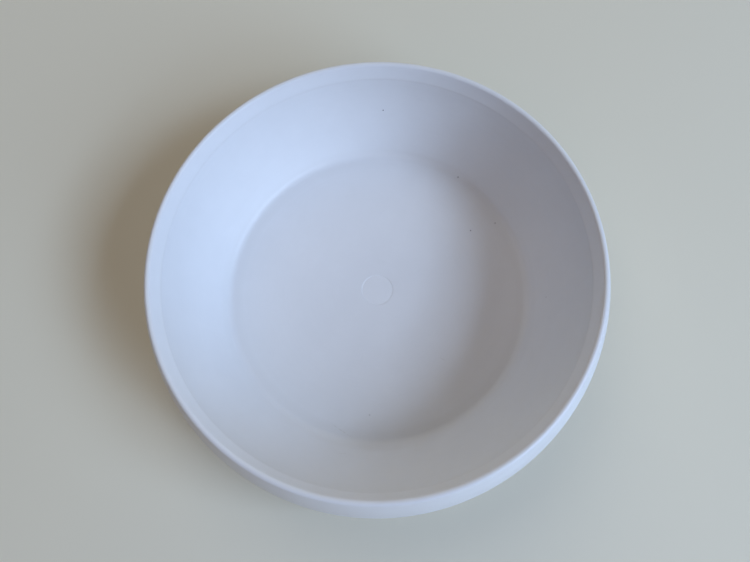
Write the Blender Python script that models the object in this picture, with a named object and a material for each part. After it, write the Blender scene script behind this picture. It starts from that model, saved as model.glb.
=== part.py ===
"""Shallow flat-bottomed evaporating dish, moulded in one piece.

The dish is one turned shell.  Its outline runs from the middle of the inside
floor out to the wall, up the wall and the bevelled band under the lip, over
the round lip, down the curved skirt that the rim turns down into, up inside
the skirt, down the outside of the wall, and in across the foot ring to the
middle of the underside.  Lengths are metres, +Z is up along the axis, and the
origin is the middle of the surface that the foot ring stands on.
"""
from math import asin, atan2, cos, hypot, pi, radians, sin, tan

import bmesh
import bpy

# ---- driving dimensions ----------------------------------------------------
RIM_RADIUS = 0.0750         # outermost radius of the lip
LIP_THICKNESS = 0.0022      # across the round lip
INSIDE_DEPTH = 0.0383       # lip top to inside floor

BAND_DEPTH = 0.0054         # lip top to the crease under the bevelled band
BAND_TILT = radians(19.0)   # the band opens upwards by this much
WALL_TOP_TILT = radians(7.0)  # draft of the wall just under the crease
WALL_THICKNESS = 0.0022     # below the crease, all the way round to the floor

FLOOR_RADIUS = 0.0575       # where floor and wall would meet without the fillet
FLOOR_FILLET = 0.0040       # between floor and wall, inside
FLOOR_THICKNESS = 0.0024

MARK_RADIUS = 0.0062        # shallow round moulding mark in the middle of the floor
MARK_DEPTH = 0.00015
MARK_SLOPE = 0.0004         # width of the mark's sloping edge

SKIRT_DEPTH = 0.0188        # lip top to the skirt's lower edge
SKIRT_TOP_FLARE = radians(24.0)   # the skirt's slope away from the axis under the lip
SKIRT_EDGE_FLARE = radians(7.0)   # and at its lower edge
SKIRT_THICKNESS = 0.0019
SKIRT_EDGE_ROUND = 0.0004   # on both corners of the skirt's lower edge
CORE_TIP = 0.0008           # narrowest gap between skirt and wall, under the lip

BASE_ROUND = 0.0060         # outside corner between wall and underside
FOOT_INSET = 0.0055         # from the base round's inner end to the foot ring
FOOT_WIDTH = 0.0030
FOOT_HEIGHT = 0.0007
FOOT_ROUND = 0.0003         # on both corners of the foot ring

# ---- steps of the curves ---------------------------------------------------
SEGMENTS = 96               # round the dish
WALL_STEPS = 9              # inside wall
WALL_BACK_STEPS = 7         # outside wall
SKIRT_STEPS = 4             # each side of the skirt
LIP_STEPS = 6
FILLET_STEPS = 3            # floor fillet and base round
ROUND_STEPS = 2             # small rounded corners
ROOF_STEPS = 3              # round top of the gap behind the skirt
HALVINGS = 40               # when looking for the gap's top
MERGE_DISTANCE = 0.000005
SHARP_ANGLE = radians(28.0)  # edges that turn more than this are shaded sharp

BODY_COLOUR = (0.78, 0.79, 0.81, 1.0)
BODY_ROUGHNESS = 0.42

# ---- heights that follow from them -----------------------------------------
FLOOR_Z = FOOT_HEIGHT + FLOOR_THICKNESS
RIM_Z = FLOOR_Z + INSIDE_DEPTH
CREASE_Z = RIM_Z - BAND_DEPTH
LIP_ROUND = LIP_THICKNESS / 2
LIP_CENTRE = (RIM_RADIUS - LIP_ROUND, RIM_Z - LIP_ROUND)
SKIRT_Z = RIM_Z - SKIRT_DEPTH


def arc(centre, radius, start, end, steps):
    """Points on a circle from angle start to angle end, both included."""
    turn = (end - start) / steps
    return [(centre[0] + radius * cos(start + turn * i), centre[1] + radius * sin(start + turn * i))
            for i in range(steps + 1)]


def rounded(before, corner, after, radius, steps):
    """The corner between two straight runs, replaced by an arc that is tangent to both."""
    towards_before = atan2(before[1] - corner[1], before[0] - corner[0])
    towards_after = atan2(after[1] - corner[1], after[0] - corner[0])
    opening = (towards_after - towards_before + pi) % (2 * pi) - pi
    side = 1 if opening > 0 else -1
    reach = radius / sin(abs(opening) / 2)
    middle = towards_before + opening / 2
    centre = (corner[0] + reach * cos(middle), corner[1] + reach * sin(middle))
    start = towards_before - side * pi / 2
    end = start - side * (pi - abs(opening))
    return arc(centre, radius, start, end, steps)


def crease_radius():
    """Inside radius at the crease: the band runs there from the lip's tangent point."""
    lip_side = LIP_CENTRE[0] - LIP_ROUND * cos(BAND_TILT)
    lip_side_z = LIP_CENTRE[1] + LIP_ROUND * sin(BAND_TILT)
    return lip_side - (lip_side_z - CREASE_Z) * tan(BAND_TILT)


def wall_circle():
    """Centre and radius of the wall's inside arc, and its tilt where it meets the floor.

    The arc leaves the crease at WALL_TOP_TILT and ends at the floor's edge, so its
    chord's slope gives the tilt at the floor.
    """
    drop = CREASE_Z - FLOOR_Z
    run = crease_radius() - FLOOR_RADIUS
    chord_tilt = atan2(run, drop)
    floor_tilt = 2 * chord_tilt - WALL_TOP_TILT
    radius = hypot(run, drop) / (2 * sin((floor_tilt - WALL_TOP_TILT) / 2))
    centre = (crease_radius() - radius * cos(WALL_TOP_TILT), CREASE_Z + radius * sin(WALL_TOP_TILT))
    return centre, radius, floor_tilt


def floor_outline():
    """The inside floor, from the axis over the moulding mark to the fillet's start."""
    return [(0.0, FLOOR_Z - MARK_DEPTH),
            (MARK_RADIUS - MARK_SLOPE, FLOOR_Z - MARK_DEPTH),
            (MARK_RADIUS, FLOOR_Z)]


def inner_wall_outline():
    """The fillet, the wall's arc, and the band up to the lip.

    The fillet touches the floor plane and the wall's arc from inside, so its centre
    is one fillet radius above the floor and (arc radius - fillet radius) from the
    arc's centre.
    """
    centre, radius, _ = wall_circle()
    rise = FLOOR_Z + FLOOR_FILLET - centre[1]
    fillet_tilt = asin(-rise / (radius - FLOOR_FILLET))
    fillet_centre = (centre[0] + (radius - FLOOR_FILLET) * cos(fillet_tilt), FLOOR_Z + FLOOR_FILLET)
    fillet = arc(fillet_centre, FLOOR_FILLET, -pi / 2, -fillet_tilt, FILLET_STEPS)
    wall = arc(centre, radius, -fillet_tilt, -WALL_TOP_TILT, WALL_STEPS)
    return fillet + wall[1:]


def lip_outline():
    """The round lip, from the band's tangent over the top to the skirt's tangent."""
    return arc(LIP_CENTRE, LIP_ROUND, pi - BAND_TILT, SKIRT_TOP_FLARE, LIP_STEPS)


def skirt_circle():
    """Centre and radius of the skirt's outside arc.

    The arc leaves the round lip at SKIRT_TOP_FLARE and reaches its lower edge at
    SKIRT_EDGE_FLARE, so its radius is the drop over the difference of the flares' sines.
    """
    start = (LIP_CENTRE[0] + LIP_ROUND * cos(SKIRT_TOP_FLARE),
             LIP_CENTRE[1] + LIP_ROUND * sin(SKIRT_TOP_FLARE))
    radius = (start[1] - SKIRT_Z) / (sin(SKIRT_TOP_FLARE) - sin(SKIRT_EDGE_FLARE))
    centre = (start[0] - radius * cos(SKIRT_TOP_FLARE), start[1] - radius * sin(SKIRT_TOP_FLARE))
    return centre, radius


def skirt_back_radius(z):
    """Inside radius of the skirt at a height: the outside arc's circle, one skirt smaller."""
    centre, radius = skirt_circle()
    inner = radius - SKIRT_THICKNESS
    return centre[0] + (inner ** 2 - (z - centre[1]) ** 2) ** 0.5


def wall_back_radius(z):
    """Outside radius of the wall at a height: the inside arc's circle, one wall larger."""
    centre, radius, _ = wall_circle()
    outer = radius + WALL_THICKNESS
    return centre[0] + (outer ** 2 - (centre[1] - z) ** 2) ** 0.5


def gap_top():
    """Height where skirt and wall are CORE_TIP apart, found by halving the interval."""
    low, high = SKIRT_Z, RIM_Z
    for _ in range(HALVINGS):
        middle = (low + high) / 2
        wide = skirt_back_radius(middle) - wall_back_radius(middle) > CORE_TIP
        low, high = (middle, high) if wide else (low, middle)
    return low


def skirt_outline():
    """The skirt's outside, its rounded lower edge, its inside and the gap's round top."""
    centre, radius = skirt_circle()
    inner, top = radius - SKIRT_THICKNESS, gap_top()
    outside = arc(centre, radius, SKIRT_TOP_FLARE, SKIRT_EDGE_FLARE, SKIRT_STEPS)
    low_flare = asin((SKIRT_Z - centre[1]) / inner)
    inside = arc(centre, inner, low_flare, asin((top - centre[1]) / inner), SKIRT_STEPS)
    edge = rounded(outside[-2], outside[-1], inside[0], SKIRT_EDGE_ROUND, ROUND_STEPS)
    edge += rounded(outside[-1], inside[0], inside[1], SKIRT_EDGE_ROUND, ROUND_STEPS)
    roof_round = (inside[-1][0] - wall_back_radius(top)) / 2
    roof = arc((inside[-1][0] - roof_round, top), roof_round, 0.0, pi, ROOF_STEPS)
    return outside[1:-1] + edge + inside[1:-1] + roof


def base_arc():
    """Centre of the round between outside wall and underside, and its tilt at the wall.

    The round touches the underside plane and the wall's outside circle from inside.
    """
    centre, radius, _ = wall_circle()
    reach = radius + WALL_THICKNESS - BASE_ROUND
    tilt = asin((centre[1] - FOOT_HEIGHT - BASE_ROUND) / reach)
    return (centre[0] + reach * cos(tilt), FOOT_HEIGHT + BASE_ROUND), tilt


def outer_wall_outline():
    """Down the outside of the wall and round the base corner to the underside."""
    centre, radius, _ = wall_circle()
    outer = radius + WALL_THICKNESS
    base_centre, base_tilt = base_arc()
    top_tilt = asin((centre[1] - gap_top()) / outer)
    wall = arc(centre, outer, -top_tilt, -base_tilt, WALL_BACK_STEPS)
    base = arc(base_centre, BASE_ROUND, -base_tilt, -pi / 2, FILLET_STEPS)
    return wall[1:] + base[1:]


def foot_outline():
    """The foot ring and the recessed underside, in to the axis."""
    outer = base_arc()[0][0] - FOOT_INSET
    inner = outer - FOOT_WIDTH
    outer_root = (outer, FOOT_HEIGHT)
    outer_foot = (outer, 0.0)
    inner_foot = (inner, 0.0)
    inner_root = (inner, FOOT_HEIGHT)
    ring = rounded(outer_root, outer_foot, inner_foot, FOOT_ROUND, ROUND_STEPS)
    ring += rounded(outer_foot, inner_foot, inner_root, FOOT_ROUND, ROUND_STEPS)
    return [outer_root] + ring + [inner_root, (0.0, FOOT_HEIGHT)]


def dish_outline():
    """The whole outline, as (radius, height) points from axis to axis."""
    return (floor_outline() + inner_wall_outline() + lip_outline() + skirt_outline()
            + outer_wall_outline() + foot_outline())


def plastic(name, colour):
    """Satin white moulded plastic."""
    material = bpy.data.materials.new(name)
    material.use_nodes = True
    shader = material.node_tree.nodes["Principled BSDF"]
    shader.inputs["Base Color"].default_value = colour
    shader.inputs["Roughness"].default_value = BODY_ROUGHNESS
    shader.inputs["Metallic"].default_value = 0.0
    return material


def turned_part(name, outline, material):
    """One closed solid: the outline spun about the Z axis, with its poles merged."""
    shape = bmesh.new()
    corners = [shape.verts.new((radius, 0.0, height)) for radius, height in outline]
    runs = [shape.edges.new(pair) for pair in zip(corners, corners[1:])]
    bmesh.ops.spin(shape, geom=corners + runs, axis=(0.0, 0.0, 1.0), cent=(0.0, 0.0, 0.0),
                   angle=2 * pi, steps=SEGMENTS, use_duplicate=False, use_merge=True)
    bmesh.ops.remove_doubles(shape, verts=shape.verts, dist=MERGE_DISTANCE)
    bmesh.ops.recalc_face_normals(shape, faces=shape.faces)
    mesh = bpy.data.meshes.new(name)
    shape.to_mesh(mesh)
    shape.free()
    mesh.shade_smooth()
    mesh.set_sharp_from_angle(angle=SHARP_ANGLE)
    mesh.materials.append(material)
    part = bpy.data.objects.new(name, mesh)
    bpy.context.collection.objects.link(part)
    return part


def main():
    for thing in list(bpy.data.objects):
        bpy.data.objects.remove(thing, do_unlink=True)
    turned_part("dish_body", dish_outline(), plastic("dish_plastic", BODY_COLOUR))


main()
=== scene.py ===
"""A shallow flat-bottomed evaporating dish in satin white plastic, and the studio it stands in.

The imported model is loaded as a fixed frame.  The dish is made round it as one fine turned
shell: an outline of radius and height, carried round the Z axis.  Lengths are metres, +Z is
up along the dish's axis, and the origin is the middle of the surface that it stands on.
"""
from math import asin, atan2, cos, hypot, pi, radians, sin, tan

import bpy
import numpy as np
from bpy.props import FloatProperty, FloatVectorProperty, IntProperty, PointerProperty
from mathutils import Matrix, Vector


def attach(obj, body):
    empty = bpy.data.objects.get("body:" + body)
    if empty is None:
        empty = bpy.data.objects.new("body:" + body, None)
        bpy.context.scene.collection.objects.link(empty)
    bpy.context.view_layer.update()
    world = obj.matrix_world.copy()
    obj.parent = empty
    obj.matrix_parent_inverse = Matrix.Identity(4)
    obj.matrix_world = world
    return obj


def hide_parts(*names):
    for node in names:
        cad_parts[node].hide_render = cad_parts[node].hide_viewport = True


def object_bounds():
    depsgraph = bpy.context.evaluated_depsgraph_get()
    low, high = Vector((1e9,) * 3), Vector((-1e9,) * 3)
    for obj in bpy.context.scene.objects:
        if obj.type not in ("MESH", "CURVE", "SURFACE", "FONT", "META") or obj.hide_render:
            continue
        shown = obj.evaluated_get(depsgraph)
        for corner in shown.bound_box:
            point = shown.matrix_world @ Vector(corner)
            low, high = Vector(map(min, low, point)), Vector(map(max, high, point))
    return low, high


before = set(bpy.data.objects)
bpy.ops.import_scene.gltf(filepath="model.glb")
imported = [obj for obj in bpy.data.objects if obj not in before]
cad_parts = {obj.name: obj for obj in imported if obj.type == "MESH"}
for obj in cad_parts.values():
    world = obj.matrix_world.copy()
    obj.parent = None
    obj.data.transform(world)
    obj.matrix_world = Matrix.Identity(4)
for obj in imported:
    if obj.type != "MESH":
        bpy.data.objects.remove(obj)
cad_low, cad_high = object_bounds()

bl_info = {
    "name": "Evaporating Dish",
    "version": (1, 0, 0),
    "blender": (4, 5, 0),
    "location": "3D View > Sidebar > Dish",
    "description": "Makes a shallow moulded dish with a turned-down rim, and a plain studio",
    "category": "Add Mesh",
}

BODY_NODE = "dish_body"
HALVINGS = 40                   # steps in the search for the gap's top
SHORTEST_STEP = 2e-6            # nearer neighbours on the outline are dropped


# ---- sizes and colours -------------------------------------------------------
class DishSizes(bpy.types.PropertyGroup):
    """Sizes of the turned shell."""
    height: FloatProperty(
        name="Height", description="From the table to the top of the lip",
        default=cad_high.z, min=0.01, unit="LENGTH")
    rim_radius: FloatProperty(
        name="Lip radius", description="Outermost radius of the round lip",
        default=0.0750, min=0.01, unit="LENGTH")
    lip_thickness: FloatProperty(
        name="Lip thickness", description="Across the round lip",
        default=0.0022, min=0.0005, unit="LENGTH")
    inside_depth: FloatProperty(
        name="Inside depth", description="From the top of the lip to the inside floor",
        default=0.0383, min=0.005, unit="LENGTH")
    band_depth: FloatProperty(
        name="Band depth", description="From the top of the lip to the crease under the bevelled band",
        default=0.0054, min=0.001, unit="LENGTH")
    band_tilt: FloatProperty(
        name="Band tilt", description="How far the bevelled band opens from upright",
        default=radians(19.0), subtype="ANGLE")
    crease_round: FloatProperty(
        name="Crease round", description="Radius that softens the crease between band and wall",
        default=0.0009, min=0.0001, unit="LENGTH")
    wall_top_tilt: FloatProperty(
        name="Wall draft", description="How far the wall opens just under the crease",
        default=radians(7.0), subtype="ANGLE")
    wall_thickness: FloatProperty(
        name="Wall thickness", description="Wall below the crease",
        default=0.0022, min=0.0005, unit="LENGTH")
    floor_radius: FloatProperty(
        name="Floor radius", description="Where floor and wall would meet without the fillet",
        default=0.0575, min=0.01, unit="LENGTH")
    floor_fillet: FloatProperty(
        name="Floor fillet", description="Radius between floor and wall, inside",
        default=0.0040, min=0.0005, unit="LENGTH")
    mark_radius: FloatProperty(
        name="Mark radius", description="Shallow round moulding mark in the middle of the floor",
        default=0.0062, min=0.001, unit="LENGTH")
    mark_depth: FloatProperty(
        name="Mark depth", description="Depth of the moulding mark",
        default=0.00015, min=0.0, unit="LENGTH")
    mark_slope: FloatProperty(
        name="Mark slope", description="Width of the mark's sloping edge",
        default=0.0004, min=0.0001, unit="LENGTH")
    mark_dome: FloatProperty(
        name="Mark dome", description="How much the moulding mark rises at its middle",
        default=0.00012, min=0.0, unit="LENGTH")
    skirt_depth: FloatProperty(
        name="Skirt depth", description="From the top of the lip to the skirt's lower edge",
        default=0.0188, min=0.002, unit="LENGTH")
    skirt_top_flare: FloatProperty(
        name="Skirt top flare", description="Slope of the turned-down skirt under the lip",
        default=radians(24.0), subtype="ANGLE")
    skirt_edge_flare: FloatProperty(
        name="Skirt edge flare", description="Slope of the turned-down skirt at its lower edge",
        default=radians(7.0), subtype="ANGLE")
    skirt_thickness: FloatProperty(
        name="Skirt thickness", description="Thickness of the turned-down skirt",
        default=0.0019, min=0.0005, unit="LENGTH")
    skirt_edge_round: FloatProperty(
        name="Skirt edge round", description="Radius on both corners of the skirt's lower edge",
        default=0.00055, min=0.0001, unit="LENGTH")
    core_tip: FloatProperty(
        name="Gap top", description="Narrowest gap between skirt and wall, under the lip",
        default=0.0008, min=0.0002, unit="LENGTH")
    base_round: FloatProperty(
        name="Base round", description="Outside radius between wall and underside",
        default=0.0060, min=0.001, unit="LENGTH")
    foot_inset: FloatProperty(
        name="Foot inset", description="From the base round's inner end to the foot ring",
        default=0.0055, min=0.0005, unit="LENGTH")
    foot_width: FloatProperty(
        name="Foot width", description="Width of the foot ring",
        default=0.0030, min=0.0005, unit="LENGTH")
    foot_height: FloatProperty(
        name="Foot height", description="Height of the foot ring below the underside",
        default=0.0007, min=0.0002, unit="LENGTH")
    foot_round: FloatProperty(
        name="Foot round", description="Radius on the foot ring's corners",
        default=0.0003, min=0.00005, unit="LENGTH")
    segments: IntProperty(
        name="Segments", description="Steps round the dish", default=256, min=24, max=512)


class DishFinish(bpy.types.PropertyGroup):
    """Colours and gloss of the plastic."""
    plastic: FloatVectorProperty(
        name="Plastic", description="Colour of the clean plastic", subtype="COLOR",
        size=4, min=0.0, max=1.0, default=(0.800, 0.808, 0.822, 1.0))
    # painted shade and soil: this colour darkens the crease, the floor's fillet and the shadow patches,
    # and it is the soil in the scratches
    soil_and_shade: FloatVectorProperty(
        name="Soil", description="Colour of the faint film in corners", subtype="COLOR",
        size=4, min=0.0, max=1.0, default=(0.56, 0.53, 0.48, 1.0))
    speck: FloatVectorProperty(
        name="Speck", description="Colour of dark specks in the plastic", subtype="COLOR",
        size=4, min=0.0, max=1.0, default=(0.035, 0.032, 0.035, 1.0))
    roughness: FloatProperty(
        name="Roughness", description="Roughness of the satin surface", default=0.42,
        min=0.0, max=1.0)


class StudioSettings(bpy.types.PropertyGroup):
    """Floor, lights and camera."""
    floor: FloatVectorProperty(
        name="Floor", description="Colour of the plain floor", subtype="COLOR",
        size=4, min=0.0, max=1.0, default=(0.80, 0.76, 0.62, 1.0))
    brightness: FloatProperty(
        name="Brightness", description="Strength of all the soft lights together",
        default=1.0, min=0.0, max=10.0)
    lens: FloatProperty(
        name="Lens", description="Focal length on a 36 mm wide sensor", default=27.02,
        min=10.0, unit="CAMERA")


# ---- the outline ---------------------------------------------------------------
def run(start, end, steps):
    """Points on a straight line between two points, both included, evenly spaced."""
    share = np.linspace(0.0, 1.0, steps + 1)[:, None]
    return np.asarray(start) * (1 - share) + np.asarray(end) * share


def arc(centre, radius, start, end, steps):
    """Points on a circle about centre, from angle start to angle end, both included."""
    angle = np.linspace(start, end, steps + 1)
    return np.stack([centre[0] + radius * np.cos(angle), centre[1] + radius * np.sin(angle)], 1)


def rounded(before, corner, after, radius, steps):
    """The corner between two straight runs, replaced by an arc that is tangent to both.

    The arc's centre lies on the corner's bisector, at radius over the sine of half the
    opening, and the arc turns through a straight angle less the opening.
    """
    towards_before = atan2(before[1] - corner[1], before[0] - corner[0])
    towards_after = atan2(after[1] - corner[1], after[0] - corner[0])
    opening = (towards_after - towards_before + pi) % (2 * pi) - pi
    side = 1 if opening > 0 else -1
    reach = radius / sin(abs(opening) / 2)
    middle = towards_before + opening / 2
    centre = (corner[0] + reach * cos(middle), corner[1] + reach * sin(middle))
    start = towards_before - side * pi / 2
    return arc(centre, radius, start, start - side * (pi - abs(opening)), steps)


class Outline:
    """The dish's outline, worked out once from its sizes."""

    def __init__(self, size):
        self.size = size
        self.floor_z = size.height - size.inside_depth
        self.crease_z = size.height - size.band_depth
        self.skirt_z = size.height - size.skirt_depth
        self.lip_round = size.lip_thickness / 2
        self.lip_centre = (size.rim_radius - self.lip_round, size.height - self.lip_round)
        self.lip_side = (self.lip_centre[0] - self.lip_round * cos(size.band_tilt),
                         self.lip_centre[1] + self.lip_round * sin(size.band_tilt))
        self.crease_radius = (self.lip_side[0]
                              - (self.lip_side[1] - self.crease_z) * tan(size.band_tilt))
        drop, across = self.crease_z - self.floor_z, self.crease_radius - size.floor_radius
        floor_tilt = 2 * atan2(across, drop) - size.wall_top_tilt
        self.wall_radius = hypot(across, drop) / (2 * sin((floor_tilt - size.wall_top_tilt) / 2))
        self.wall_centre = (self.crease_radius - self.wall_radius * cos(size.wall_top_tilt),
                            self.crease_z + self.wall_radius * sin(size.wall_top_tilt))
        top, edge = size.skirt_top_flare, size.skirt_edge_flare
        start = (self.lip_centre[0] + self.lip_round * cos(top),
                 self.lip_centre[1] + self.lip_round * sin(top))
        self.skirt_arc_radius = (start[1] - self.skirt_z) / (sin(top) - sin(edge))
        self.skirt_centre = (start[0] - self.skirt_arc_radius * cos(top),
                             start[1] - self.skirt_arc_radius * sin(top))

    def skirt_back_radius(self, z):
        """Inside radius of the skirt at a height: its outside circle, one skirt smaller."""
        inner = self.skirt_arc_radius - self.size.skirt_thickness
        return self.skirt_centre[0] + (inner ** 2 - (z - self.skirt_centre[1]) ** 2) ** 0.5

    def wall_back_radius(self, z):
        """Outside radius of the wall at a height: the inside arc's circle, one wall larger."""
        outer = self.wall_radius + self.size.wall_thickness
        return self.wall_centre[0] + (outer ** 2 - (self.wall_centre[1] - z) ** 2) ** 0.5

    def gap_top(self):
        """Height where skirt and wall are the gap's top width apart, by halving the interval."""
        low, high = self.skirt_z, self.size.height
        for _ in range(HALVINGS):
            middle = (low + high) / 2
            gap = self.skirt_back_radius(middle) - self.wall_back_radius(middle)
            low, high = (middle, high) if gap > self.size.core_tip else (low, middle)
        return low

    def floor(self):
        """The inside floor: flat, with a low domed mark sunk into it.

        The dome falls with the square of the radius, and the sunk edge is half a cosine wave.
        """
        size = self.size
        inner = size.mark_radius - size.mark_slope
        slope = np.linspace(0.0, 1.0, 9)
        edge = np.stack([inner + size.mark_slope * slope,
                         self.floor_z - size.mark_depth * (1 + np.cos(pi * slope)) / 2], 1)
        share = np.linspace(0.0, 1.0, 20)
        rise = size.mark_dome * (1 - share ** 2) + self.floor_z - size.mark_depth
        return np.concatenate([np.stack([inner * share, rise], 1)[:-1], edge])

    def inner_wall(self):
        """Floor fillet, wall arc, soft crease and bevelled band.

        The fillet touches the floor plane and the wall's arc from inside, so its centre is
        one fillet radius above the floor and the two radii's difference from the arc's.
        """
        size = self.size
        centre_z = self.floor_z + size.floor_fillet
        reach = self.wall_radius - size.floor_fillet
        tilt = asin((self.wall_centre[1] - centre_z) / reach)
        centre = (self.wall_centre[0] + reach * cos(tilt), centre_z)
        fillet = arc(centre, size.floor_fillet, -pi / 2, -tilt, 18)
        wall = arc(self.wall_centre, self.wall_radius, -tilt, -size.wall_top_tilt, 60)
        below, crease = wall[-3], (self.crease_radius, self.crease_z)
        soft = rounded(below, crease, self.lip_side, size.crease_round, 8)
        kept = wall[wall[:, 1] < soft[0, 1] - 1e-5]
        start = (size.mark_radius, self.floor_z)
        return np.concatenate([run(start, fillet[0], 30)[1:-1], fillet, kept[1:], soft,
                               run(soft[-1], self.lip_side, 8)[1:]])

    def lip(self):
        """The round lip, from the band's tangent over the top to the skirt's tangent."""
        return arc(self.lip_centre, self.lip_round, pi - self.size.band_tilt,
                   self.size.skirt_top_flare, 20)

    def skirt(self):
        """The skirt's outside arc, its rounded lower edge, its inside and the gap's round top.

        The outside arc leaves the lip at the top flare and ends at the edge flare; the
        inside follows the same centre, one thickness smaller.
        """
        size, top, level = self.size, self.gap_top(), self.skirt_centre[1]
        inner = self.skirt_arc_radius - size.skirt_thickness
        outside = arc(self.skirt_centre, self.skirt_arc_radius, size.skirt_top_flare,
                      size.skirt_edge_flare, 30)
        inside = arc(self.skirt_centre, inner, asin((self.skirt_z - level) / inner),
                     asin((top - level) / inner), 24)
        edge = np.concatenate([
            rounded(outside[-2], outside[-1], inside[0], size.skirt_edge_round, 6),
            rounded(outside[-1], inside[0], inside[1], size.skirt_edge_round, 6)])
        roof_round = (inside[-1, 0] - self.wall_back_radius(top)) / 2
        roof = arc((inside[-1, 0] - roof_round, top), roof_round, 0.0, pi, 10)
        return np.concatenate([outside[1:-1], edge, inside[1:-1], roof])

    def base_arc(self):
        """Centre of the round between outside wall and underside, and its tilt at the wall."""
        centre_z = self.size.foot_height + self.size.base_round
        reach = self.wall_radius + self.size.wall_thickness - self.size.base_round
        tilt = asin((self.wall_centre[1] - centre_z) / reach)
        return (self.wall_centre[0] + reach * cos(tilt), centre_z), tilt

    def outer_wall(self):
        """Down the outside of the wall and round the base corner to the underside."""
        outer = self.wall_radius + self.size.wall_thickness
        centre, tilt = self.base_arc()
        top_tilt = asin((self.wall_centre[1] - self.gap_top()) / outer)
        wall = arc(self.wall_centre, outer, -top_tilt, -tilt, 44)
        base = arc(centre, self.size.base_round, -tilt, -pi / 2, 16)
        return np.concatenate([wall[1:], base[1:]])

    def foot(self):
        """The foot ring and the recessed underside, in to the axis."""
        size = self.size
        outer = self.base_arc()[0][0] - size.foot_inset
        inner = outer - size.foot_width
        outer_root, outer_foot = (outer, size.foot_height), (outer, 0.0)
        inner_root, inner_foot = (inner, size.foot_height), (inner, 0.0)
        ring = np.concatenate([
            rounded(outer_root, outer_foot, inner_foot, size.foot_round, 6),
            rounded(outer_foot, inner_foot, inner_root, size.foot_round, 6)])
        return np.concatenate([[outer_root], ring, run(inner_root, (0.0, size.foot_height), 24)])

    def points(self):
        """The whole outline as (radius, height) rows, from the axis inside to the axis below."""
        whole = np.concatenate([self.floor(), self.inner_wall(), self.lip()[1:], self.skirt(),
                                self.outer_wall(), self.foot()])
        step = np.hypot(*np.diff(whole, axis=0).T)
        return whole[np.concatenate([[True], step > SHORTEST_STEP])]


def turned_mesh(name, outline, segments):
    """A closed surface of revolution as a mesh.

    A point at angle u and outline place v is (r(v) cos u, r(v) sin u, z(v)).  The outline's
    two ends lie on the axis, and each is one vertex with a fan of triangles.
    """
    ring = outline[1:-1]
    angle = np.linspace(0.0, 2 * pi, segments, endpoint=False)
    grid = np.stack([ring[:, None, 0] * np.cos(angle), ring[:, None, 0] * np.sin(angle),
                     np.broadcast_to(ring[:, None, 1], (len(ring), segments))], 2)
    points = np.concatenate([[[0.0, 0.0, outline[0, 1]]], grid.reshape(-1, 3),
                             [[0.0, 0.0, outline[-1, 1]]]])
    here = np.arange(segments)
    after = (here + 1) % segments
    first = 1 + segments * np.arange(len(ring) - 1)[:, None]
    quads = np.stack([first + here, first + segments + here,
                      first + segments + after, first + after], 2).reshape(-1)
    last = 1 + segments * (len(ring) - 1)
    top = np.stack([np.zeros(segments, int), 1 + here, 1 + after], 1).reshape(-1)
    bottom = np.stack([last + after, last + here, np.full(segments, len(points) - 1)], 1).reshape(-1)
    corners = np.concatenate([top, quads, bottom]).astype(np.int32)
    sides = np.concatenate([np.full(segments, 3), np.full(len(quads) // 4, 4),
                            np.full(segments, 3)]).astype(np.int32)
    mesh = bpy.data.meshes.new(name)
    mesh.vertices.add(len(points))
    mesh.vertices.foreach_set("co", points.astype(np.float32).ravel())
    mesh.loops.add(len(corners))
    mesh.loops.foreach_set("vertex_index", corners)
    mesh.polygons.add(len(sides))
    starts = np.concatenate([[0], np.cumsum(sides)[:-1]]).astype(np.int32)
    mesh.polygons.foreach_set("loop_start", starts)
    mesh.polygons.foreach_set("loop_total", sides)
    mesh.update(calc_edges=True)
    if mesh.validate():
        raise RuntimeError(f"the surface of {name} has faces that Blender had to repair")
    mesh.shade_smooth()
    return mesh


# ---- node helpers ----------------------------------------------------------------
def put(tree, kind, inputs=(), **settings):
    """A node of that kind, with its settings, and each input linked or given its value."""
    made = tree.nodes.new(kind)
    for key, value in settings.items():
        setattr(made, key, value)
    for key, value in dict(inputs).items():
        if isinstance(value, bpy.types.NodeSocket):
            tree.links.new(value, made.inputs[key])
        else:
            made.inputs[key].default_value = value
    return made


def maths(tree, operation, *values):
    """A Math node's result for sockets or plain numbers."""
    return put(tree, "ShaderNodeMath", dict(enumerate(values)), operation=operation).outputs[0]


def ramp(tree, value, low, high, from_value=0.0, to_value=1.0):
    """A smooth step from one value to another as the input goes from low to high."""
    made = put(tree, "ShaderNodeMapRange",
               {"Value": value, "From Min": low, "From Max": high,
                "To Min": from_value, "To Max": to_value}, interpolation_type="SMOOTHSTEP")
    return made.outputs["Result"]


def window(tree, value, low, high, soft):
    """1 where the input lies between low and high, fading out over soft on each side."""
    return maths(tree, "MULTIPLY", ramp(tree, value, low - soft, low),
                 ramp(tree, value, high, high + soft, 1.0, 0.0))


def new_group(name, inputs, outputs):
    """An empty node group with those sockets, and its input and output nodes."""
    tree = bpy.data.node_groups.new(name, "ShaderNodeTree")
    for socket, kind, default in inputs:
        made = tree.interface.new_socket(socket, in_out="INPUT", socket_type=kind)
        if default is not None:
            made.default_value = default
    for socket, kind in outputs:
        tree.interface.new_socket(socket, in_out="OUTPUT", socket_type=kind)
    return tree, tree.nodes.new("NodeGroupInput").outputs, tree.nodes.new("NodeGroupOutput").inputs


def place_group(tree, group, inputs):
    """A node group placed in a tree, with its inputs linked or given their values."""
    made = tree.nodes.new("ShaderNodeGroup")
    made.node_tree = group
    for key, value in inputs.items():
        if isinstance(value, bpy.types.NodeSocket):
            tree.links.new(value, made.inputs[key])
        else:
            made.inputs[key].default_value = value
    return made.outputs


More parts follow.
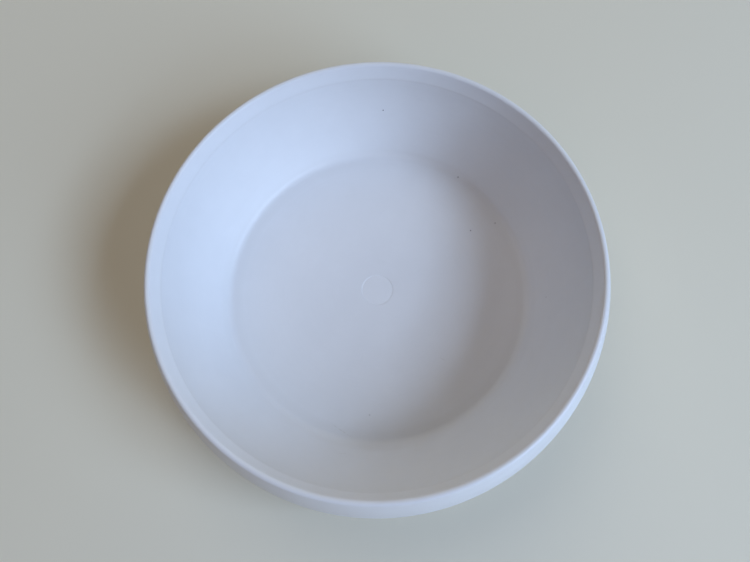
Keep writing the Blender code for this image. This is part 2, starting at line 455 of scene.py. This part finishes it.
def mottle_group():
    """Soft clouds about zero: two layers of noise, the second a third of the size."""
    tree, given, result = new_group(
        "soft_mottle", [("Place", "NodeSocketVector", None), ("Size", "NodeSocketFloat", 0.02)],
        [("Cloud", "NodeSocketFloat")])
    frequency = maths(tree, "DIVIDE", 1.0, given["Size"])
    broad = put(tree, "ShaderNodeTexNoise", {"Vector": given["Place"], "Scale": frequency,
                                             "Detail": 3.0, "Roughness": 0.5})
    fine = put(tree, "ShaderNodeTexNoise", {"Vector": given["Place"],
                                            "Scale": maths(tree, "MULTIPLY", frequency, 3.1),
                                            "Detail": 2.0, "Roughness": 0.6})
    summed = maths(tree, "MULTIPLY_ADD", fine.outputs["Fac"], 0.5, broad.outputs["Fac"])
    tree.links.new(maths(tree, "SUBTRACT", summed, 0.75), result["Cloud"])
    return tree


def spot_group():
    """1 within a radius of a point and 0 outside it, with a soft edge."""
    tree, given, result = new_group(
        "spot", [("Place", "NodeSocketVector", None), ("Centre", "NodeSocketVector", None),
                 ("Radius", "NodeSocketFloat", 0.0003)], [("Mask", "NodeSocketFloat")])
    away = put(tree, "ShaderNodeVectorMath", {0: given["Place"], 1: given["Centre"]},
               operation="DISTANCE").outputs["Value"]
    mask = ramp(tree, away, maths(tree, "MULTIPLY", given["Radius"], 0.5),
                maths(tree, "MULTIPLY", given["Radius"], 1.3), 1.0, 0.0)
    tree.links.new(mask, result["Mask"])
    return tree


def scratch_group():
    """1 near a straight line between two points, fading out across its width and at its ends.

    The nearest point of the line is start plus the run times the clamped dot product of
    (place - start) with the run, over the run's length squared.
    """
    tree, given, result = new_group(
        "scratch", [("Place", "NodeSocketVector", None), ("Start", "NodeSocketVector", None),
                    ("End", "NodeSocketVector", None), ("Width", "NodeSocketFloat", 0.0002)],
        [("Mask", "NodeSocketFloat")])

    def vector(operation, *values):
        return put(tree, "ShaderNodeVectorMath", dict(enumerate(values)), operation=operation)

    line = vector("SUBTRACT", given["End"], given["Start"]).outputs["Vector"]
    offset = vector("SUBTRACT", given["Place"], given["Start"]).outputs["Vector"]
    along = maths(tree, "DIVIDE", vector("DOT_PRODUCT", offset, line).outputs["Value"],
                  vector("DOT_PRODUCT", line, line).outputs["Value"])
    share = put(tree, "ShaderNodeClamp", {"Value": along}).outputs[0]
    scaled = put(tree, "ShaderNodeVectorMath", {0: line, "Scale": share}, operation="SCALE")
    away = vector("DISTANCE", offset, scaled.outputs["Vector"]).outputs["Value"]
    across = ramp(tree, away, 0.0, given["Width"], 1.0, 0.0)
    ends = maths(tree, "MULTIPLY", ramp(tree, share, 0.0, 0.25), ramp(tree, share, 0.75, 1.0, 1.0, 0.0))
    faded = maths(tree, "MULTIPLY_ADD", ends, 0.7, 0.3)
    tree.links.new(maths(tree, "MULTIPLY", across, faded), result["Mask"])
    return tree


def turning_group():
    """Faint rings about the axis, as a value about zero.

    The rings are noise read at (radius, height, a little of the angle's cosine and sine),
    so they are long round the dish and fine across it.
    """
    tree, given, result = new_group(
        "turning_rings", [("Place", "NodeSocketVector", None), ("Pitch", "NodeSocketFloat", 0.0006)],
        [("Ring", "NodeSocketFloat"), ("Radius", "NodeSocketFloat"), ("Height", "NodeSocketFloat")])
    axis = put(tree, "ShaderNodeSeparateXYZ", {"Vector": given["Place"]}).outputs
    flat = put(tree, "ShaderNodeCombineXYZ", {"X": axis["X"], "Y": axis["Y"]}).outputs["Vector"]
    radius = put(tree, "ShaderNodeVectorMath", {0: flat}, operation="LENGTH").outputs["Value"]
    swept = maths(tree, "ADD", radius, axis["Z"])
    drift = maths(tree, "MULTIPLY", axis["X"], 0.006)
    lean = maths(tree, "MULTIPLY", axis["Y"], 0.006)
    read = put(tree, "ShaderNodeCombineXYZ", {"X": swept, "Y": drift, "Z": lean}).outputs["Vector"]
    noise = put(tree, "ShaderNodeTexNoise",
                {"Vector": read, "Scale": maths(tree, "DIVIDE", 1.0, given["Pitch"]),
                 "Detail": 2.0, "Roughness": 0.55})
    tree.links.new(maths(tree, "SUBTRACT", noise.outputs["Fac"], 0.5), result["Ring"])
    tree.links.new(radius, result["Radius"])
    tree.links.new(axis["Z"], result["Height"])
    return tree


# ---- materials --------------------------------------------------------------------
CLOUD_SIZE = 0.018              # across one soft cloud in the plastic
RING_PITCH = 0.0007             # from one turning ring to the next
GRAIN_SCALE = 2600.0            # grains in a metre
BREAK_SCALE = 900.0             # breaks along a scratch, in a metre
CLOUD_TONE, RING_TONE = 0.05, 0.02              # share that each lightens or darkens
MARK_PAINTED_LIGHT, BAND_PAINTED_LIGHT = 0.03, 0.03               # painted light: share that the moulding mark and the band are paler than the rest
PAINTED_SHADE_COVER, SCRATCH_COVER = 0.10, 0.35          # how much of the soil-and-shade colour each shows: painted shade in the corners, soil in the scratches
CLOUD_ROUGH, RING_ROUGH = 0.10, 0.05            # change in roughness with each
LIP_ROUGH, SCRATCH_ROUGH = -0.06, 0.15
RING_RELIEF, GRAIN_RELIEF, SCRATCH_RELIEF = 0.000012, 0.000010, -0.00004
PLASTIC_IOR = 1.45
FLOOR_CLOUD_SIZE, FLOOR_CLOUD_TONE, FLOOR_ROUGHNESS = 0.25, 0.02, 0.75

# Each mark's place on the inside is an angle in degrees from +X to +Y and a distance out.
SPECKS = (                      # place, radius, strength of dark specks in the plastic
    ((87.5, 0.0677), 0.00026, 0.95),
    ((55.0, 0.0576), 0.00042, 0.35),
    ((33.0, 0.0442), 0.00028, 0.70),
    ((30.0, 0.0542), 0.00034, 0.35),
    ((355.0, 0.0626), 0.00040, 0.12),
    ((266.5, 0.0473), 0.00032, 0.22),
)
SCRATCHES = (                   # start, end, width of shallow marks
    ((252.0, 0.0531), (260.5, 0.0559), 0.00026),
    ((257.5, 0.0619), (260.0, 0.0615), 0.00028),
    ((311.5, 0.0353), (312.5, 0.0374), 0.00030),
)
SHADOW_PATCHES = (                     # place, radius, strength of painted shadow patches by the floor's near fillet
    ((266.0, 0.0546), 0.0070, 0.7),
    ((274.0, 0.0556), 0.0070, 0.6),
    ((287.0, 0.0544), 0.0080, 0.5),
)


def on_inside(outline, where):
    """The point of the inside surface at an angle and a distance out, at the outline's height."""
    angle, radius = radians(where[0]), where[1]
    inside = np.concatenate([outline.floor(), outline.inner_wall()])
    height = float(np.interp(radius, inside[:, 0], inside[:, 1]))
    return radius * cos(angle), radius * sin(angle), height


def spot_mask(tree, spot, place, outline, where, radius):
    """1 within a radius of a point of the inside surface, with a soft edge."""
    return place_group(tree, spot, {"Place": place, "Centre": on_inside(outline, where),
                                    "Radius": radius})["Mask"]


def both(tree, first, second):
    """A mask that is 1 where both masks are."""
    return maths(tree, "MULTIPLY", first, second)


def fold_in(tree, value, amount, total):
    """The total plus the value's share."""
    return maths(tree, "MULTIPLY_ADD", value, amount, total)


def largest(tree, masks):
    """The largest of several masks."""
    total = masks[0]
    for mask in masks[1:]:
        total = maths(tree, "MAXIMUM", total, mask)
    return total


def over(tree, colour, layer, amount):
    """One colour laid over another by an amount."""
    mixed = put(tree, "ShaderNodeMix", {"Factor": amount, 6: colour, 7: layer}, data_type="RGBA")
    return mixed.outputs[2]


def painted_shade_mask(tree, place, spot, sizes, outline, radius, height, cloud):
    """Where painted shade lies: darker in the crease, round the floor's fillet and in the painted
    shadow patches.
    """
    # painted shade in the crease and round the floor's fillet
    crease = window(tree, height, outline.crease_z - 0.0004, outline.crease_z + 0.0003, 0.0007)
    crease_shade = both(tree, crease, ramp(tree, radius, outline.crease_radius + 0.0012,
                                        outline.crease_radius + 0.0016, 1.0, 0.0))
    cove_shade = both(
        tree, window(tree, radius, sizes.floor_radius - 0.003, sizes.floor_radius + 0.001, 0.003),
        window(tree, height, outline.floor_z - 0.0005, outline.floor_z + 0.0022, 0.0015))
    painted_shade = both(tree, largest(tree, [crease_shade, cove_shade]), fold_in(tree, cloud, 1.0, 0.5))
    shadow_patches = 0.0
    # painted shadow: darker patches by the floor's near fillet
    for where, size, strength in SHADOW_PATCHES:
        mask = spot_mask(tree, spot, place, outline, where, size)
        shadow_patches = fold_in(tree, mask, strength, shadow_patches)
    return fold_in(tree, shadow_patches, fold_in(tree, cloud, 2.0, 1.0), painted_shade)


def tone_of(tree, sizes, outline, radius, height, cloud, ring):
    """How much paler or darker the clean plastic is: clouds and rings, and painted light on the
    moulding mark and the band.
    """
    # painted highlight on the moulding mark and painted light on the band: both made paler where light
    # catches them
    mark = both(tree, ramp(tree, radius, sizes.mark_radius - sizes.mark_slope,
                           sizes.mark_radius, 1.0, 0.0),
                ramp(tree, height, outline.floor_z - 0.0010, outline.floor_z - 0.0005))
    band = both(tree, ramp(tree, height, outline.crease_z - 0.0002, outline.crease_z + 0.0004),
                ramp(tree, radius, sizes.rim_radius - sizes.lip_thickness,
                     sizes.rim_radius - 0.0005, 1.0, 0.0))
    tone = 1.0
    for value, amount in ((cloud, CLOUD_TONE), (ring, RING_TONE), (mark, MARK_PAINTED_LIGHT),
                          (band, BAND_PAINTED_LIGHT)):
        tone = fold_in(tree, value, amount, tone)
    return tone


def plastic_material(sizes, finish, outline):
    """Satin white moulded plastic: faint clouds, turning rings, a fine grain, painted shade in the
    crease and round the floor's fillet, painted shadow patches, a paler moulding mark and band as
    painted light, a few specks and scratches, and a lip polished by handling."""
    material = bpy.data.materials.new("satin_white_plastic")
    material.use_nodes = True
    tree = material.node_tree
    shader = tree.nodes["Principled BSDF"]
    place = tree.nodes.new("ShaderNodeTexCoord").outputs["Object"]
    cloud = place_group(tree, mottle_group(), {"Place": place, "Size": CLOUD_SIZE})["Cloud"]
    rings = place_group(tree, turning_group(), {"Place": place, "Pitch": RING_PITCH})
    grain = put(tree, "ShaderNodeTexNoise", {"Vector": place, "Scale": GRAIN_SCALE, "Detail": 2.0,
                                             "Roughness": 0.6}).outputs["Fac"]
    ring, radius, height = rings["Ring"], rings["Radius"], rings["Height"]

    spot, scratch = spot_group(), scratch_group()
    specks = largest(tree, [
        both(tree, spot_mask(tree, spot, place, outline, where, size), strength)
        for where, size, strength in SPECKS])
    breaks = put(tree, "ShaderNodeTexNoise", {"Vector": place, "Scale": BREAK_SCALE})
    broken = ramp(tree, breaks.outputs["Fac"], 0.35, 0.6)
    scratches = largest(tree, [
        both(tree, place_group(tree, scratch, {
            "Place": place, "Start": on_inside(outline, start), "End": on_inside(outline, end),
            "Width": width})["Mask"], broken)
        for start, end, width in SCRATCHES])

    tone = tone_of(tree, sizes, outline, radius, height, cloud, ring)
    clean = put(tree, "ShaderNodeVectorMath", {0: tuple(finish.plastic[:3]), "Scale": tone},
                operation="SCALE").outputs["Vector"]
    # painted shade laid over the crease, the fillet and the shadow patches
    painted_shade = painted_shade_mask(tree, place, spot, sizes, outline, radius, height, cloud)
    soil_and_shade = tuple(finish.soil_and_shade)
    colour = over(tree, clean, soil_and_shade, both(tree, painted_shade, PAINTED_SHADE_COVER))
    colour = over(tree, colour, soil_and_shade, both(tree, scratches, SCRATCH_COVER))
    colour = over(tree, colour, tuple(finish.speck), specks)
    tree.links.new(colour, shader.inputs["Base Color"])

    lip = ramp(tree, height, sizes.height - 0.0014, sizes.height - 0.0004)
    rough = finish.roughness
    for value, amount in ((cloud, CLOUD_ROUGH), (ring, RING_ROUGH), (lip, LIP_ROUGH),
                          (scratches, SCRATCH_ROUGH)):
        rough = fold_in(tree, value, amount, rough)
    tree.links.new(rough, shader.inputs["Roughness"])

    relief = 0.0
    for value, amount in ((ring, RING_RELIEF), (grain, GRAIN_RELIEF),
                          (scratches, SCRATCH_RELIEF)):
        relief = fold_in(tree, value, amount, relief)
    bump = put(tree, "ShaderNodeBump", {"Height": relief, "Strength": 1.0, "Distance": 1.0})
    tree.links.new(bump.outputs["Normal"], shader.inputs["Normal"])
    shader.inputs["IOR"].default_value = PLASTIC_IOR
    return material


def floor_material(colour):
    """A matt painted floor with the faintest clouds."""
    material = bpy.data.materials.new("plain_floor")
    material.use_nodes = True
    tree = material.node_tree
    shader = tree.nodes["Principled BSDF"]
    place = tree.nodes.new("ShaderNodeTexCoord").outputs["Object"]
    group = bpy.data.node_groups.get("soft_mottle") or mottle_group()
    cloud = place_group(tree, group, {"Place": place, "Size": FLOOR_CLOUD_SIZE})["Cloud"]
    tone = fold_in(tree, cloud, FLOOR_CLOUD_TONE, 1.0)
    toned = put(tree, "ShaderNodeVectorMath", {0: tuple(colour[:3]), "Scale": tone},
                operation="SCALE").outputs["Vector"]
    tree.links.new(toned, shader.inputs["Base Color"])
    shader.inputs["Roughness"].default_value = FLOOR_ROUGHNESS
    return material


# ---- operators -----------------------------------------------------------------------
def show(name, mesh, material):
    """A new object at the origin with that mesh and material."""
    mesh.materials.append(material)
    made = bpy.data.objects.new(name, mesh)
    bpy.context.scene.collection.objects.link(made)
    return made


class DISH_OT_make_body(bpy.types.Operator):
    """Make the dish: floor, wall, bevelled band, lip, turned-down skirt and foot ring"""
    bl_idname = "dish.make_body"
    bl_label = "Make dish"

    def execute(self, context):
        sizes, finish = context.scene.dish_sizes, context.scene.dish_finish
        outline = Outline(sizes)
        mesh = turned_mesh("moulded_dish", outline.points(), sizes.segments)
        dish = show("moulded_dish", mesh, plastic_material(sizes, finish, outline))
        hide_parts(BODY_NODE)
        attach(dish, "root")
        return {"FINISHED"}


CAMERA_PLACE = (0.0068, -0.0581, cad_high.z + 0.1718)
CAMERA_AIM = (-0.0009, 0.0036, 0.0031)       # a point of the inside floor, near its middle
LIGHT_DISTANCE = 1.6
FLOOR_HALF_WIDTH = 4.0
BACKDROP = (0.62, 0.62, 0.62, 1.0)          # seen behind the floor's edge
WARM_AIR = (1.0, 0.45, 0.35, 1.0)           # the faint light from everywhere
WARM_AIR_STRENGTH = 0.028
DAYLIGHT = (0.55, 0.72, 1.0)                # sky through windows
SUNNY = (1.0, 0.90, 0.55)                   # light off something yellow
NEUTRAL = (1.0, 1.0, 1.0)
ROSY = (1.0, 0.85, 0.80)
SOFT_LIGHTS = (      # name, azimuth from +X to +Y, elevation, width and height, power, colour
    ("key_light", -18.0, 41.0, (0.80, 0.50), 15.0, DAYLIGHT),
    ("side_light", -40.0, 27.0, (0.60, 0.55), 9.5, DAYLIGHT),
    ("far_low_fill", 88.0, 17.0, (1.20, 0.70), 3.2, SUNNY),
    ("far_high_fill", 115.0, 55.0, (1.30, 1.00), 5.0, NEUTRAL),
    ("near_fill", 250.0, 45.0, (1.00, 1.00), 2.5, ROSY),
)


def soft_light(name, azimuth, elevation, size, power, colour):
    """A square-cornered area light aimed at the dish."""
    data = bpy.data.lights.new(name, "AREA")
    data.shape = "RECTANGLE"
    data.size, data.size_y = size
    data.energy = power
    data.color = colour
    lamp = bpy.data.objects.new(name, data)
    bpy.context.scene.collection.objects.link(lamp)
    around, above = radians(azimuth), radians(elevation)
    towards = Vector((cos(around) * cos(above), sin(around) * cos(above), sin(above)))
    lamp.rotation_euler = towards.to_track_quat("Z", "Y").to_euler()
    lamp.location = towards * LIGHT_DISTANCE
    lamp.visible_camera = False
    return lamp


class DISH_OT_make_studio(bpy.types.Operator):
    """Make the plain floor, the soft lights and the camera"""
    bl_idname = "dish.make_studio"
    bl_label = "Make studio"

    def execute(self, context):
        studio, scene = context.scene.studio, context.scene
        corner = FLOOR_HALF_WIDTH
        ground = bpy.data.meshes.new("floor")
        ground.from_pydata([(-corner, -corner, 0.0), (corner, -corner, 0.0),
                            (corner, corner, 0.0), (-corner, corner, 0.0)], [], [(0, 1, 2, 3)])
        show("floor", ground, floor_material(studio.floor))
        for name, azimuth, elevation, size, power, colour in SOFT_LIGHTS:
            soft_light(name, azimuth, elevation, size, power * studio.brightness, colour)

        world = bpy.data.worlds.new("studio_air")
        scene.world = world
        world.use_nodes = True
        tree = world.node_tree
        output = tree.nodes["World Output"]
        seen = tree.nodes["Background"]
        seen.inputs["Color"].default_value = BACKDROP
        felt = put(tree, "ShaderNodeBackground", {"Color": WARM_AIR, "Strength": WARM_AIR_STRENGTH})
        ray = tree.nodes.new("ShaderNodeLightPath").outputs["Is Camera Ray"]
        air = put(tree, "ShaderNodeMixShader", {0: ray, 1: felt.outputs[0], 2: seen.outputs[0]})
        tree.links.new(air.outputs[0], output.inputs["Surface"])

        view = bpy.data.cameras.new("camera")
        view.sensor_width = 36.0
        view.lens = studio.lens
        view.clip_start, view.clip_end = 0.01, 50.0
        camera = bpy.data.objects.new("camera", view)
        scene.collection.objects.link(camera)
        look = (Vector(CAMERA_AIM) - Vector(CAMERA_PLACE)).normalized()
        up = (Vector((0.0, 1.0, 0.0)) - look * look.y).normalized()
        right = look.cross(up)
        camera.matrix_world = Matrix.Translation(CAMERA_PLACE) @ Matrix((
            (right.x, up.x, -look.x, 0.0), (right.y, up.y, -look.y, 0.0),
            (right.z, up.z, -look.z, 0.0), (0.0, 0.0, 0.0, 1.0)))
        scene.camera = camera
        scene.view_settings.view_transform = "Standard"
        return {"FINISHED"}


class DISH_PT_maker(bpy.types.Panel):
    """The dish's sizes, its finish and the studio"""
    bl_label = "Evaporating Dish"
    bl_space_type = "VIEW_3D"
    bl_region_type = "UI"
    bl_category = "Dish"

    def draw(self, context):
        layout = self.layout
        for group, maker in ((context.scene.dish_sizes, DISH_OT_make_body),
                             (context.scene.dish_finish, None),
                             (context.scene.studio, DISH_OT_make_studio)):
            box = layout.box()
            for name in group.__annotations__:
                box.prop(group, name)
            if maker:
                box.operator(maker.bl_idname)


CLASSES = (DishSizes, DishFinish, StudioSettings, DISH_OT_make_body, DISH_OT_make_studio,
           DISH_PT_maker)


def register():
    for each in CLASSES:
        bpy.utils.register_class(each)
    bpy.types.Scene.dish_sizes = PointerProperty(type=DishSizes)
    bpy.types.Scene.dish_finish = PointerProperty(type=DishFinish)
    bpy.types.Scene.studio = PointerProperty(type=StudioSettings)


def unregister():
    del bpy.types.Scene.dish_sizes, bpy.types.Scene.dish_finish, bpy.types.Scene.studio
    for each in reversed(CLASSES):
        bpy.utils.unregister_class(each)


def main():
    register()
    bpy.ops.dish.make_body()
    bpy.ops.dish.make_studio()


if __name__ == "__main__":
    main()
